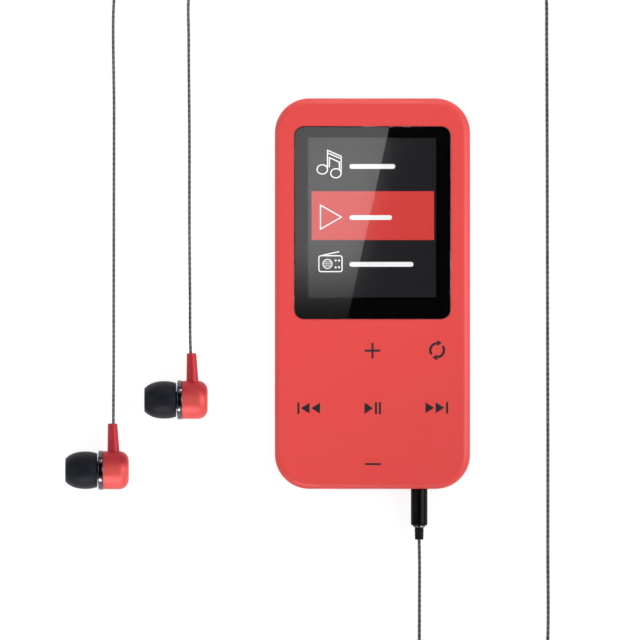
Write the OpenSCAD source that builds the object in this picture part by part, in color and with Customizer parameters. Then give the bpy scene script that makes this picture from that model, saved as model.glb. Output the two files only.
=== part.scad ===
// Pocket audio player with a colour screen and touch keys, and its plugged-in earphones.
// The player lies on its back. The origin is the centre of its back face, +Z is up through
// the screen and +Y runs towards its top edge.

/* [Player shell] */
// Width of the player
body_w = 43; // [41:0.5:54]
// Height of the player, from its bottom edge to its top edge
body_h = 86; // [84:0.5:110]
// Thickness of the player
body_t = 8.6; // [8.4:0.1:11]
// Radius of the outline's corners
corner_r = 7.6; // [6:0.2:9]
// Rounding of the front edge
front_edge_r = 1.6; // [0.8:0.1:1.6]
// Rounding of the back edge
back_edge_r = 1.4; // [0.6:0.1:1.6]
// Thickness of the side walls
wall = 1.3; // [1:0.1:1.5]
// Thickness of the front plate
plate_t = 1.6; // [1.4:0.1:2]
// Thickness of the back panel inside its rim
floor_t = 1.2; // [0.8:0.1:1.4]
// Height of the seam between front shell and rear cover
seam_z = 1.8; // [1.6:0.1:2]
// Height of the locating lip above the seam
lip_h = 1.2; // [0.8:0.1:1.3]
// Thickness of the locating lip
lip_t = 0.8; // [0.6:0.1:1]
// Width and depth of the groove that shows where the two halves meet
seam_groove = 0.15; // [0.05:0.05:0.2]
// Gap left between pieces that slip together
fit_gap = 0.08; // [0.05:0.01:0.1]

/* [Screen] */
// Width of the picture area
lcd_w = 28.03; // [26:0.01:28.5]
// Height of the picture area
lcd_h = 35.04; // [29:0.01:35.5]
// Distance of the picture's centre above the player's centre
lcd_y = 16.7; // [16:0.1:17]
// Black border of the window beside the picture
border_side = 3.21; // [2.2:0.01:3.4]
// Black border of the window above the picture
border_top = 2.58; // [1.8:0.01:3]
// Black border of the window below the picture
border_low = 4.78; // [4:0.01:5.5]
// Thickness of the window
lens_t = 0.8; // [0.5:0.1:0.9]
// Corner radius of the window
lens_r = 2.2; // [1:0.1:3]
// Thickness of the black tape behind the window
tape_t = 0.15; // [0.1:0.05:0.25]
// Thickness of the display panel
panel_t = 1; // [0.8:0.1:1.1]
// Thickness of the backlight
backlight_t = 1; // [0.8:0.1:1.1]

/* [Board and battery] */
// Thickness of the circuit board
board_t = 0.8; // [0.6:0.1:1]
// Room between the board and the front plate
parts_room = 2.8; // [2.8:0.1:3]
// Width of the battery
battery_w = 32; // [28:0.5:34]
// Length of the battery
battery_l = 41; // [36:0.5:43]
// Thickness of the battery
battery_t = 2.8; // [2.2:0.1:2.9]
// Thickness of the battery's foam tape
battery_tape_t = 0.2; // [0.1:0.05:0.2]

/* [Sockets] */
// Distance of the headphone socket right of the centre line
jack_x = 10.3; // [9.8:0.1:11.5]
// Bore radius of the headphone socket
jack_bore_r = 1.8; // [1.78:0.01:1.85]
// Radial gap between the plug's contacts and the socket
plug_gap = 0.05; // [0.02:0.01:0.08]
// Distance of the USB socket left of the centre line
usb_x = 3; // [1:0.1:5]
// Distance of the card slot below the centre line
card_y = 21.5; // [20.5:0.1:22]

/* [Power switch] */
// Distance of the power switch below the centre line
switch_y = 18.8; // [17.5:0.1:20]
// Travel of the power switch
switch_travel = 2; // [1:0.1:2.2]

/* [Earphones] */
// Radius of the main cord
main_cord_r = 0.38; // [0.34:0.01:0.41]
// Radius of each earbud's cord
bud_cord_r = 0.32; // [0.28:0.01:0.34]
// Radius of the plug's barrel
barrel_r = 1.85; // [1.85:0.05:2.4]
// Length of the plug's barrel
barrel_l = 8.4; // [7:0.1:8.4]
// Radius of an earbud's metal ring
ring_r = 4.35; // [4.35:0.05:4.6]
// Radius of an earbud's housing
housing_r = 4.2; // [4:0.05:4.3]
// Length of an earbud's housing
housing_l = 5.6; // [5:0.1:6]
// Radius of the nozzle that carries the ear tip
nozzle_r = 2; // [1.8:0.05:2.1]
// Radial gap between nozzle and ear tip
tip_gap = 0.05; // [0.02:0.01:0.08]

/* [Hidden] */
$fn = 64;

coral = [0.90, 0.31, 0.30];
black = [0.05, 0.05, 0.06];
steel = [0.72, 0.73, 0.75];
gold = [0.83, 0.68, 0.35];
cord_grey = [0.40, 0.41, 0.45];
eps = 0.01;
cut = 1;

// Heights through the player
plate_z = body_t - plate_t;
lens_z = body_t - lens_t;
tape_z = lens_z - tape_t;
panel_z = plate_z - panel_t;
backlight_z = panel_z - backlight_t;
board_top = plate_z - parts_room;
board_z = board_top - board_t;
edge_y = -body_h / 2;
inner_w = body_w - 2 * wall;
inner_h = body_h - 2 * wall;
inner_r = corner_r - wall;

// Window, and the display frame behind it
lens_w = lcd_w + 2 * border_side;
lens_h = lcd_h + border_top + border_low;
lens_y = lcd_y + (border_top - border_low) / 2;
window_edge = 0.8;
panel_w = lcd_w + 3.6;
panel_top_y = lcd_y + lcd_h / 2 + 1.7;
panel_low_y = lcd_y - lcd_h / 2 - 4.3;
frame_wall = 0.6;
frame_floor = 0.4;
frame_z = backlight_z - frame_floor;
flex_w = 14;
flex_t = 0.15;

// Board outline and its screws
board_w = inner_w - 3.4;
board_top_y = panel_low_y - frame_wall - 0.7;
board_low_y = edge_y + wall + 0.8;
board_r = 5.5;
boss_r = 1.5;
screw_r = 0.68;
screw_gap = 0.04;
screw_head_r = 1.2;
screw_head_h = 0.6;
screw_l = 2.2;
boss_x = board_w / 2 - 2.5;
boss_places = [
    [boss_x, board_top_y - 3.3], [-boss_x, board_top_y - 3.3],
    [-boss_x, board_low_y + 9.7], [3.4, board_low_y + 9.7]
];

// Headphone socket and plug, on one axis along Y
jack_z = board_top;
jack_w = 6;
jack_t = 4.8;
jack_l = 14.2;
jack_nose_r = 2.3;
jack_gap = 0.05;
jack_bore_l = 15;
spring_t = 0.25;
spring_places = [[3.4, 1], [7.6, -1], [11.2, 1]];
plug_r = jack_bore_r - plug_gap;
plug_l = 14;
plug_y = edge_y - 0.1;
relief_r = 1.05;
relief_l = 2.7;
exit_y = plug_y - barrel_l - relief_l;

// USB socket and card slot
usb_w = 7.5;
usb_t = 2.5;
usb_l = 5;
usb_wall = 0.25;
usb_y = edge_y + 0.4;
card_w = 14;
card_l = 14.5;
card_t = 1.5;
card_wall = 0.2;
card_x = -body_w / 2 + wall + 0.1;

// Power switch, seen from above
switch_z = board_top + 0.8;
switch_w = 8.6;
switch_x = body_w / 2 - wall - 0.8;
knob_l = 3;
knob_t = 1.5;
knob_x = body_w / 2 - 0.3;

// Where each earbud lies: back end of its housing, and the Y of its axis
left_bud = [-53.7, -38.9];
right_bud = [-36.3, -23.4];
stem_x = -3.35;
stem_low_r = 1.35;
stem_top_r = 1.05;
stem_low_y = 3.7;
stem_top_y = 10.3;
ring_l = 1.1;
ring_bore_r = 3;
housing_wall = 0.6;
nozzle_wall = 0.6;
nozzle_l = 4.1;
tip_l = 7;
tip_r = ring_r - 0.2;
tip_start = housing_l + ring_l + 0.25;

// Coils of spare cord. Each lies on its tie.
tie_t = 0.25;
tie_w = 3;
main_coil_at = [18, 80.73];
main_coil_r = 4.4;
main_coil_columns = 5;
main_coil_rows = 4;
main_row_h = 0.67;
branch_coil_at = [-16, 82.24];
branch_coil_r = 3.6;
branch_coil_columns = 4;
branch_coil_rows = 4;
branch_row_h = 2 * bud_cord_r;
splitter_at = [0, 86.3];
splitter_l = 10;
splitter_r = 1.5;

// Routes of the loose stretches of cord
main_route = [
    [jack_x, exit_y, jack_z], [10.35, -57, 4.1], [10.4, -60, 3.5], [10.4, -64, 2.1], [10.4, -68, 0.9],
    [10.4, -72, 0.42], [10.4, -77, 0.42], [10.7, -82, 0.42], [12, -86.5, 0.42], [15, -90.5, 0.42],
    [19.3, -93.3, 0.42], [24.3, -94.3, 0.42], [29.3, -93.3, 0.42], [33.5, -90.5, 0.42],
    [36.5, -86.5, 0.42], [38.2, -82, 0.42], [38.7, -77, 0.42], [38.75, -55, 0.42], [38.75, -30, 0.42],
    [38.67, 0, 0.42], [38.6, 30, 0.42], [38.5, 55, 0.42], [38.4, 66, 0.42], [37.9, 71, 0.42],
    [36.5, 76, 0.42], [34, 80, 0.42], [30.5, 83.5, 0.42], [26, 85.8, 0.5], [20.5, 86.65, 0.63]
];
main_route_end = [
    [16, 86.25, 2.6], [13, 86.3, 2.4], [9.5, 86.3, 1.9], [7, 86.3, 1.6], [5, 86.3, 1.5]
];
left_route = [
    [-17.5, 86.8, 2.48], [-22, 87, 1.9], [-28, 86.9, 0.9], [-35, 86, 0.38], [-42, 84, 0.35],
    [-48, 81, 0.35], [-53, 76.5, 0.35], [-56, 71, 0.35], [-57, 65, 0.35], [-57, 40, 0.35],
    [-57.05, 15, 0.35], [-57.08, -5, 0.35], [-57.08, -13, 0.6], [-57.08, -18, 1.5], [-57.08, -22, 2.9],
    [-57.08, -25.5, 4], [-57.08, -28.6, 4.35]
];
right_route = [
    [-17.5, 86.16, 2.48], [-22, 85.8, 1.9], [-27, 84.5, 1], [-32, 82, 0.45], [-36, 78, 0.35],
    [-38.9, 73, 0.35], [-40.4, 67, 0.35], [-40.52, 55, 0.35], [-40.37, 35, 0.35], [-40.36, 15, 0.35],
    [-40.27, 3, 0.5], [-40.22, -2, 1.4], [-40.2, -6.5, 2.9], [-40.15, -10, 4], [-40.05, -13.1, 4.35]
];
left_route_start = [[-5, 86.75, 1.5], [-8, 86.9, 1.25], [-11, 86.9, 0.85], [-14.5, 86.8, 0.6]];
right_route_start = [[-5, 85.85, 1.5], [-8, 85.9, 1.25], [-11, 86, 0.85], [-14.5, 86.16, 0.6]];

// 2D outline with round corners, centred
module rounded_outline(w, h, r) {
    square([w - 2 * r, h], center = true);
    square([w, h - 2 * r], center = true);
    for (x = [-1, 1], y = [-1, 1])
        translate([x * (w / 2 - r), y * (h / 2 - r)]) circle(r);
}

module rounded_plate(w, h, r, t) {
    linear_extrude(t) rounded_outline(w, h, r);
}

// 2D half section from the axis out to reach, t high, with its outer upper edge rounded
module edge_section(reach, t, edge) {
    square([reach - edge, t]);
    square([reach, t - edge]);
    translate([reach - edge, t - edge])
        intersection() {
            circle(edge);
            square(edge);
        }
}

// Slab with round corners and a rounded upper edge
module rounded_slab(w, h, r, t, edge) {
    for (x = [-1, 1], y = [-1, 1])
        translate([x * (w / 2 - r), y * (h / 2 - r), 0])
            rotate_extrude() edge_section(r, t, edge);
    for (side = [0, 1])
        rotate([0, 0, 180 * side])
            translate([-(w / 2 - r), 0, 0])
                rotate([90, 0, 90])
                    linear_extrude(w - 2 * r) edge_section(h / 2, t, edge);
    for (side = [-1, 1])
        rotate([0, 0, 90 * side])
            translate([-(h / 2 - r), 0, 0])
                rotate([90, 0, 90])
                    linear_extrude(h - 2 * r) edge_section(w / 2, t, edge);
}

module block(low, high) {
    translate(low) cube(high - low);
}

// Round bar along Y from y to y + l
module bar_y(x, y, z, r, l) {
    translate([x, y, z]) rotate([-90, 0, 0]) cylinder(r = r, h = l);
}

function unit(v) = v / norm(v);
function route_way(p, i) = unit(p[min(i + 1, len(p) - 1)] - p[max(i - 1, 0)]);

// Tube of radius r swept along the points p, with flat ends
module tube(p, r, sides = 8) {
    rings = [
        for (i = [0 : len(p) - 1])
            let (way = route_way(p, i), side = unit(cross([0, 0, 1], way)), up = cross(way, side))
                for (k = [0 : sides - 1])
                    let (a = 360 * (k + 0.5) / sides) p[i] + r * (cos(a) * side + sin(a) * up)
    ];
    last = len(p) - 1;
    walls = [
        for (i = [0 : last - 1], k = [0 : sides - 1])
            let (j = (k + 1) % sides)
                each [
                    [i * sides + k, i * sides + j, (i + 1) * sides + j],
                    [i * sides + k, (i + 1) * sides + j, (i + 1) * sides + k]
                ]
    ];
    polyhedron(
        points = rings,
        faces = concat(
            walls,
            [[for (k = [sides - 1 : -1 : 0]) k]],
            [[for (k = [0 : sides - 1]) last * sides + k]]
        )
    );
}

module power_switch_slot() {
    slot_l = knob_l + switch_travel + 0.4;
    block(
        [switch_x, -switch_y - slot_l / 2, switch_z - knob_t / 2 - 0.15],
        [body_w / 2 + cut, -switch_y + slot_l / 2, switch_z + knob_t / 2 + 0.15]
    );
    block(
        [body_w / 2 - 0.5, -switch_y - slot_l / 2 - 1, switch_z - knob_t / 2 - 0.7],
        [body_w / 2 + cut, -switch_y + slot_l / 2 + 1, switch_z + knob_t / 2 + 0.7]
    );
}

module front_shell() {
    color(coral)
    difference() {
        union() {
            difference() {
                translate([0, 0, seam_z])
                    rounded_slab(body_w, body_h, corner_r, body_t - seam_z, front_edge_r);
                translate([0, 0, seam_z - cut])
                    rounded_plate(inner_w, inner_h, inner_r, plate_z - seam_z + cut);
            }
            for (p = boss_places)
                translate([p.x, p.y, board_top]) cylinder(r = boss_r, h = plate_z - board_top + eps);
        }
        for (p = boss_places)
            translate([p.x, p.y, board_top - cut])
                cylinder(r = screw_r + screw_gap, h = screw_l + cut + 0.2);
        translate([0, 0, seam_z - cut])
            linear_extrude(cut + seam_groove)
                difference() {
                    rounded_outline(body_w + 2 * cut, body_h + 2 * cut, corner_r + cut);
                    rounded_outline(
                        body_w - 2 * seam_groove, body_h - 2 * seam_groove, corner_r - seam_groove
                    );
                }
        translate([0, lens_y, tape_z])
            rounded_plate(
                lens_w + 2 * fit_gap, lens_h + 2 * fit_gap, lens_r + fit_gap, lens_t + tape_t + cut
            );
        translate([0, lcd_y, plate_z - cut])
            linear_extrude(plate_t + cut)
                square([lcd_w + 2 * window_edge, lcd_h + 2 * window_edge], center = true);
        bar_y(jack_x, edge_y - cut, jack_z, jack_nose_r + jack_gap, wall + 2 * cut);
        block(
            [-usb_x - usb_w / 2 - 0.15, edge_y - cut, board_top - 0.1],
            [-usb_x + usb_w / 2 + 0.15, edge_y + wall + cut, board_top + usb_t + 0.2]
        );
        block(
            [-body_w / 2 - cut, -card_y - card_w / 2 + 0.8, board_top + 0.1],
            [-body_w / 2 + wall + cut, -card_y + card_w / 2 - 0.8, board_top + card_t - 0.1]
        );
        power_switch_slot();
    }
}

module rear_cover() {
    lip_w = inner_w - 2 * fit_gap;
    lip_l = inner_h - 2 * fit_gap;
    lip_r = inner_r - fit_gap;
    color(coral)
    difference() {
        union() {
            translate([0, 0, seam_z])
                mirror([0, 0, 1]) rounded_slab(body_w, body_h, corner_r, seam_z, back_edge_r);
            translate([0, 0, floor_t]) rounded_plate(lip_w, lip_l, lip_r, seam_z + lip_h - floor_t);
        }
        translate([0, 0, floor_t])
            rounded_plate(lip_w - 2 * lip_t, lip_l - 2 * lip_t, lip_r - lip_t, seam_z + lip_h);
        block(
            [jack_x - jack_w / 2 - 0.2, edge_y + wall, jack_z - jack_t / 2 - 0.1],
            [jack_x + jack_w / 2 + 0.2, edge_y + wall + 2, jack_z]
        );
        bar_y(jack_x, edge_y - cut, jack_z, jack_nose_r + jack_gap, wall + 2 * cut);
    }
}

module screen_lens() {
    color([0.10, 0.10, 0.11, 0.5])
        translate([0, lens_y, lens_z]) rounded_plate(lens_w, lens_h, lens_r, lens_t);
}

module lens_tape() {
    color(black)
    translate([0, 0, tape_z])
        linear_extrude(tape_t)
            difference() {
                translate([0, lens_y]) rounded_outline(lens_w, lens_h, lens_r);
                translate([0, lcd_y]) square([lcd_w + 0.5, lcd_h + 0.5], center = true);
            }
}

module lcd_panel() {
    color([0.14, 0.14, 0.14])
        block([-panel_w / 2, panel_low_y, panel_z], [panel_w / 2, panel_top_y, plate_z]);
}

module lcd_frame() {
    half_w = panel_w / 2 + fit_gap;
    color("white")
    difference() {
        block(
            [-half_w - frame_wall, panel_low_y - fit_gap - frame_wall, frame_z],
            [half_w + frame_wall, panel_top_y + fit_gap + frame_wall, plate_z]
        );
        block(
            [-half_w, panel_low_y - fit_gap, backlight_z],
            [half_w, panel_top_y + fit_gap, plate_z + cut]
        );
        block(
            [-flex_w / 2 - 0.3, panel_low_y - frame_wall - cut, panel_z - 0.3],
            [flex_w / 2 + 0.3, panel_low_y + cut, plate_z + cut]
        );
    }
}

module backlight() {
    color([0.92, 0.94, 0.97])
        block([-panel_w / 2, panel_low_y, backlight_z], [panel_w / 2, panel_top_y, panel_z]);
}

// Ribbon out of the panel's lower edge, down to the connector on the board
module lcd_flex() {
    flex_y = panel_low_y - frame_wall - 0.35;
    color("orange")
    translate([-flex_w / 2, 0, 0])
        rotate([90, 0, 90])
            linear_extrude(flex_w)
                polygon([
                    [panel_low_y, panel_z + 0.3], [panel_low_y, panel_z + 0.3 + flex_t],
                    [flex_y - flex_t, panel_z + 0.3 + flex_t], [flex_y - flex_t, board_top + 0.45 + flex_t],
                    [board_top_y - 1, board_top + 0.45 + flex_t], [board_top_y - 1, board_top + 0.45],
                    [flex_y, board_top + 0.45], [flex_y, panel_z + 0.3]
                ]);
}

module lcd_connector() {
    color([0.85, 0.83, 0.75])
        block(
            [-flex_w / 2 - 0.6, board_top_y - 3, board_top],
            [flex_w / 2 + 0.6, board_top_y - 1, board_top + 1]
        );
}

module touch_film() {
    color("orange")
    difference() {
        block(
            [-board_w / 2 + 0.6, board_low_y + 1.6, plate_z - 0.2],
            [board_w / 2 - 0.6, board_top_y - 1.4, plate_z]
        );
        for (p = boss_places)
            translate([p.x, p.y, plate_z - cut]) cylinder(r = boss_r + 0.1, h = 2 * cut);
        for (side = [-1, 1])
            translate([side * board_w / 2, board_low_y, plate_z - cut])
                rotate([0, 0, 45]) cube([8, 8, 4 * cut], center = true);
    }
}

module touch_connector() {
    color("white")
        block([-10, board_top_y - 8, board_top], [-4, board_top_y - 6, plate_z - 0.2]);
}

module main_board() {
    board_h = board_top_y - board_low_y;
    color([0.05, 0.35, 0.20])
    difference() {
        translate([0, (board_top_y + board_low_y) / 2, board_z])
            rounded_plate(board_w, board_h, board_r, board_t);
        block(
            [jack_x - jack_w / 2 - 0.15, board_low_y - cut, board_z - cut],
            [jack_x + jack_w / 2 + 0.15, edge_y + wall + 0.1 + jack_l + 0.15, board_top + cut]
        );
        for (p = boss_places)
            translate([p.x, p.y, board_z - cut]) cylinder(r = screw_r + 0.1, h = board_t + 2 * cut);
    }
}

// Square chip with a row of leads on each side
module leaded_chip(at, size, leads, pitch, face) {
    lead_w = pitch / 2;
    translate(at) {
        translate([-size.x / 2, -size.y / 2, 0.1]) cube([size.x, size.y, size.z - 0.1]);
        for (turn = [0 : face - 1], i = [0 : leads - 1])
            rotate([0, 0, 360 / face * turn])
                translate([size.x / 2 - 0.1, (i - (leads - 1) / 2) * pitch - lead_w / 2, 0])
                    cube([0.7, lead_w, 0.3]);
    }
}

module processor_chip() {
    color([0.12, 0.12, 0.13])
        leaded_chip([3, board_top_y - 11.4, board_top], [9, 9, 1.2], 12, 0.65, 4);
}

module memory_chip() {
    color([0.12, 0.12, 0.13])
        translate([0, board_top_y - 12.5, board_z])
            rotate([180, 0, 0]) leaded_chip([0, 0, 0], [16, 11, 1.1], 14, 0.7, 2);
}

module radio_chip() {
    color([0.12, 0.12, 0.13])
        block([11, board_top_y - 9, board_top], [14, board_top_y - 6, board_top + 0.7]);
}

module crystal() {
    color(steel)
        block([10.5, board_top_y - 14, board_top], [13.7, board_top_y - 11.5, board_top + 0.8]);
}

module board_capacitors() {
    color([0.70, 0.55, 0.38])
    for (i = [0 : 5])
        translate([1.4 * i - 3, board_top_y - 19, board_top]) cube([0.7, 1.4, 0.6]);
}

module battery() {
    color([0.75, 0.76, 0.78])
    translate([0, panel_low_y + 1 + battery_l / 2, floor_t + battery_tape_t])
        rounded_plate(battery_w, battery_l, 1, battery_t);
}

module battery_tape() {
    color([0.2, 0.2, 0.2])
    translate([0, panel_low_y + 1 + battery_l / 2, floor_t])
        rounded_plate(battery_w - 6, battery_l - 8, 1, battery_tape_t);
}

module battery_leads() {
    lead_r = 0.35;
    lead_y = board_top_y - 2;
    for (side = [-1, 1])
        color(side < 0 ? "red" : "black")
            bar_y(-12 + side, lead_y, board_z - lead_r, lead_r, panel_low_y + 1 - lead_y);
}

module jack_socket() {
    body_y = edge_y + wall + 0.1;
    color([0.10, 0.10, 0.11])
    difference() {
        union() {
            block(
                [jack_x - jack_w / 2, body_y, jack_z - jack_t / 2],
                [jack_x + jack_w / 2, body_y + jack_l, jack_z + jack_t / 2]
            );
            bar_y(jack_x, edge_y, jack_z, jack_nose_r, wall + 0.2);
        }
        bar_y(jack_x, edge_y - cut, jack_z, jack_bore_r, jack_bore_l + cut);
        for (p = spring_places)
            block(
                [jack_x + (p[1] > 0 ? 0 : -jack_w), body_y + p[0] - 0.7, board_top - eps],
                [jack_x + (p[1] > 0 ? jack_w : 0), body_y + p[0] + 0.7, board_top + 1.2]
            );
    }
}

// Contact springs: a blade beside the bore and a leg out onto the board
module jack_springs() {
    body_y = edge_y + wall + 0.1;
    blade_x = jack_bore_r + 0.1;
    color(gold)
    for (p = spring_places)
        translate([jack_x, body_y + p[0], board_top])
            mirror([p[1] > 0 ? 0 : 1, 0, 0]) {
                block([blade_x, -0.5, 0], [blade_x + spring_t, 0.5, 1.1]);
                block([blade_x, -0.5, 0], [jack_w / 2 + 0.9, 0.5, spring_t]);
            }
}

module usb_socket() {
    color(steel)
    difference() {
        block([-usb_x - usb_w / 2, usb_y, board_top], [-usb_x + usb_w / 2, usb_y + usb_l, board_top + usb_t]);
        block(
            [-usb_x - usb_w / 2 + usb_wall, usb_y - cut, board_top + usb_wall],
            [-usb_x + usb_w / 2 - usb_wall, usb_y + usb_l - usb_wall, board_top + usb_t - usb_wall]
        );
    }
}

module usb_tongue() {
    inside_y = usb_y + usb_l - usb_wall;
    color(black) {
        block([-usb_x - 1.9, usb_y + 1, board_top + 1.2], [-usb_x + 1.9, inside_y, board_top + 1.7]);
        block([-usb_x - 3.3, inside_y - 0.6, board_top + 0.3], [-usb_x + 3.3, inside_y, board_top + 2.2]);
    }
}

module card_slot() {
    low = [card_x, -card_y - card_w / 2, board_top];
    high = [card_x + card_l, -card_y + card_w / 2, board_top + card_t];
    color(steel)
    difference() {
        block(low, high);
        block(
            [low.x - cut, low.y + 1.2, low.z + card_wall],
            [high.x - 1, high.y - 1.2, high.z - card_wall]
        );
    }
}

module power_switch_body() {
    channel_l = knob_l + switch_travel + 0.4;
    color([0.15, 0.15, 0.16])
    difference() {
        block(
            [switch_x - 3.2, -switch_y - switch_w / 2, board_top],
            [switch_x, -switch_y + switch_w / 2, board_top + 1.9]
        );
        block(
            [switch_x - 1.6, -switch_y - channel_l / 2, switch_z - knob_t / 2 - 0.05],
            [switch_x + cut, -switch_y + channel_l / 2, board_top + 2.4]
        );
    }
}

// The knob stands at the lower end of its slot at rest
module power_switch_knob() {
    rest_y = -switch_y - switch_travel / 2;
    color([0.16, 0.17, 0.20]) {
        block(
            [switch_x - 1.5, rest_y - knob_l / 2, switch_z - knob_t / 2],
            [knob_x, rest_y + knob_l / 2, switch_z + knob_t / 2]
        );
        for (i = [-1 : 1])
            block(
                [knob_x - eps, rest_y + 0.8 * i - 0.2, switch_z - knob_t / 2],
                [knob_x + 0.2, rest_y + 0.8 * i + 0.2, switch_z + knob_t / 2]
            );
    }
}

module board_screws() {
    color(steel)
    for (p = boss_places)
        translate([p.x, p.y, board_z])
            difference() {
                union() {
                    cylinder(r = screw_r, h = board_t + screw_l);
                    translate([0, 0, -screw_head_h]) cylinder(r = screw_head_r, h = screw_head_h);
                }
                for (turn = [0, 90])
                    rotate([0, 0, turn])
                        translate([0, 0, -screw_head_h]) cube([1.4, 0.3, 0.5], center = true);
            }
}

// Metal contacts of the plug: sleeve, ring and tip, on the axis of the socket
module plug_contacts() {
    color(gold)
    translate([jack_x, plug_y, jack_z])
        rotate([-90, 0, 0]) {
            cylinder(r = plug_r, h = 5.6);
            translate([0, 0, 6.2]) cylinder(r = plug_r, h = 2.2);
            translate([0, 0, 9]) {
                cylinder(r = plug_r, h = 1.4);
                translate([0, 0, 1.4]) cylinder(r1 = plug_r, r2 = 1.25, h = 0.8);
                translate([0, 0, 2.2]) cylinder(r1 = 1.25, r2 = plug_r, h = 0.9);
                translate([0, 0, 3.1]) cylinder(r1 = plug_r, r2 = 0.8, h = plug_l - 9 - 3.1);
            }
        }
}

module plug_insulators() {
    color(black)
    for (z = [5.6, 8.4])
        translate([jack_x, plug_y, jack_z])
            rotate([-90, 0, 0]) translate([0, 0, z]) cylinder(r = plug_r, h = 0.6);
}

module plug_barrel() {
    chamfer = 0.7;
    color(black)
    translate([jack_x, plug_y, jack_z])
        rotate([90, 0, 0]) {
            cylinder(r = barrel_r, h = barrel_l - chamfer);
            translate([0, 0, barrel_l - chamfer])
                cylinder(r1 = barrel_r, r2 = barrel_r - chamfer, h = chamfer);
        }
}

module plug_relief() {
    color(black)
    translate([jack_x, plug_y - barrel_l, jack_z])
        rotate([90, 0, 0]) cylinder(r1 = relief_r, r2 = relief_r - 0.15, h = relief_l);
}

module main_cord() {
    color(cord_grey) {
        tube(main_route, main_cord_r);
        tube(main_route_end, main_cord_r);
    }
}

// Outer shape of a coil: columns turns side by side, rows turns high
module coil(at, mean_r, r, columns, rows, row_h) {
    half = columns * r;
    translate([at.x, at.y, tie_t])
        rotate_extrude() translate([mean_r - half, 0]) square([2 * half, 2 * r + (rows - 1) * row_h]);
}

// Band round a coil's turns, on its right side
module coil_tie(at, mean_r, r, columns, rows, row_h) {
    inside = sqrt(pow(mean_r - columns * r, 2) - pow(tie_w / 2, 2)) - 0.05;
    outside = mean_r + columns * r + 0.05;
    high = tie_t + 2 * r + (rows - 1) * row_h;
    translate([at.x, at.y - tie_w / 2, 0])
        difference() {
            translate([inside - tie_t, 0, 0]) cube([outside - inside + 2 * tie_t, tie_w, high + tie_t]);
            translate([inside, -cut, tie_t]) cube([outside - inside, tie_w + 2 * cut, high - tie_t]);
        }
}

module main_coil() {
    color(cord_grey)
        coil(main_coil_at, main_coil_r, main_cord_r, main_coil_columns, main_coil_rows, main_row_h);
}

module main_coil_tie() {
    color(black)
        coil_tie(main_coil_at, main_coil_r, main_cord_r, main_coil_columns, main_coil_rows, main_row_h);
}

module cord_splitter() {
    taper = 2;
    color(black)
    translate([splitter_at.x - splitter_l / 2, splitter_at.y, splitter_r])
        rotate([0, 90, 0]) {
            cylinder(r1 = splitter_r - 0.3, r2 = splitter_r, h = taper);
            translate([0, 0, taper]) cylinder(r = splitter_r, h = splitter_l - 2 * taper);
            translate([0, 0, splitter_l - taper]) cylinder(r1 = splitter_r, r2 = splitter_r - 0.7, h = taper);
        }
}

module left_cord() {
    color(cord_grey) {
        tube(left_route_start, bud_cord_r);
        tube(left_route, bud_cord_r);
    }
}

module right_cord() {
    color(cord_grey) {
        tube(right_route_start, bud_cord_r);
        tube(right_route, bud_cord_r);
    }
}

module branch_coil() {
    color(cord_grey)
        coil(branch_coil_at, branch_coil_r, bud_cord_r, branch_coil_columns, branch_coil_rows, branch_row_h);
}

module branch_coil_tie() {
    color(black)
        coil_tie(
            branch_coil_at, branch_coil_r, bud_cord_r, branch_coil_columns, branch_coil_rows, branch_row_h
        );
}

// Puts a piece modelled along +Z from the back of the housing onto a bud's axis, along -X
module on_bud(at) {
    translate([at.x, at.y, ring_r]) rotate([0, -90, 0]) children();
}

// 2D half section with its lower outer edge rounded
module rounded_section(reach, l, edge) {
    square([reach - edge, l]);
    translate([0, edge]) square([reach, l - edge]);
    translate([reach - edge, edge]) circle(edge);
}

module housing(at) {
    color(coral)
    difference() {
        on_bud(at)
            rotate_extrude()
                difference() {
                    intersection() {
                        rounded_section(housing_r, housing_l, 1.9);
                        square([housing_r, housing_l]);
                    }
                    translate([0, 1]) square([housing_r - housing_wall, housing_l]);
                }
        bar_y(at.x + stem_x, at.y + stem_low_y - 1, ring_r, stem_low_r + fit_gap, stem_top_y);
    }
}

module stem(at) {
    color(coral)
    translate([at.x + stem_x, at.y + stem_low_y, ring_r])
        rotate([-90, 0, 0]) cylinder(r1 = stem_low_r, r2 = stem_top_r, h = stem_top_y - stem_low_y);
}

module ring(at) {
    color(steel)
    on_bud(at)
        translate([0, 0, housing_l])
            difference() {
                cylinder(r = ring_r, h = ring_l);
                translate([0, 0, -cut]) cylinder(r = ring_bore_r, h = ring_l + 2 * cut);
            }
}

module nozzle(at) {
    flange_t = ring_l + 0.1;
    color(black)
    on_bud(at)
        translate([0, 0, housing_l])
            difference() {
                union() {
                    cylinder(r = ring_bore_r - 0.02, h = flange_t);
                    cylinder(r = nozzle_r, h = flange_t + nozzle_l);
                }
                translate([0, 0, -cut])
                    cylinder(r = nozzle_r - nozzle_wall, h = flange_t + nozzle_l + 2 * cut);
            }
}

module sound_mesh(at) {
    color(steel)
    on_bud(at)
        translate([0, 0, housing_l + ring_l + nozzle_l - 0.4]) cylinder(r = nozzle_r - nozzle_wall, h = 0.3);
}

module driver(at) {
    color([0.6, 0.6, 0.62])
    on_bud(at)
        translate([0, 0, housing_l - 2.6]) {
            cylinder(r = 2.2, h = 0.8);
            translate([0, 0, 0.8]) cylinder(r = housing_r - housing_wall - 0.1, h = 1.8);
        }
}

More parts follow.
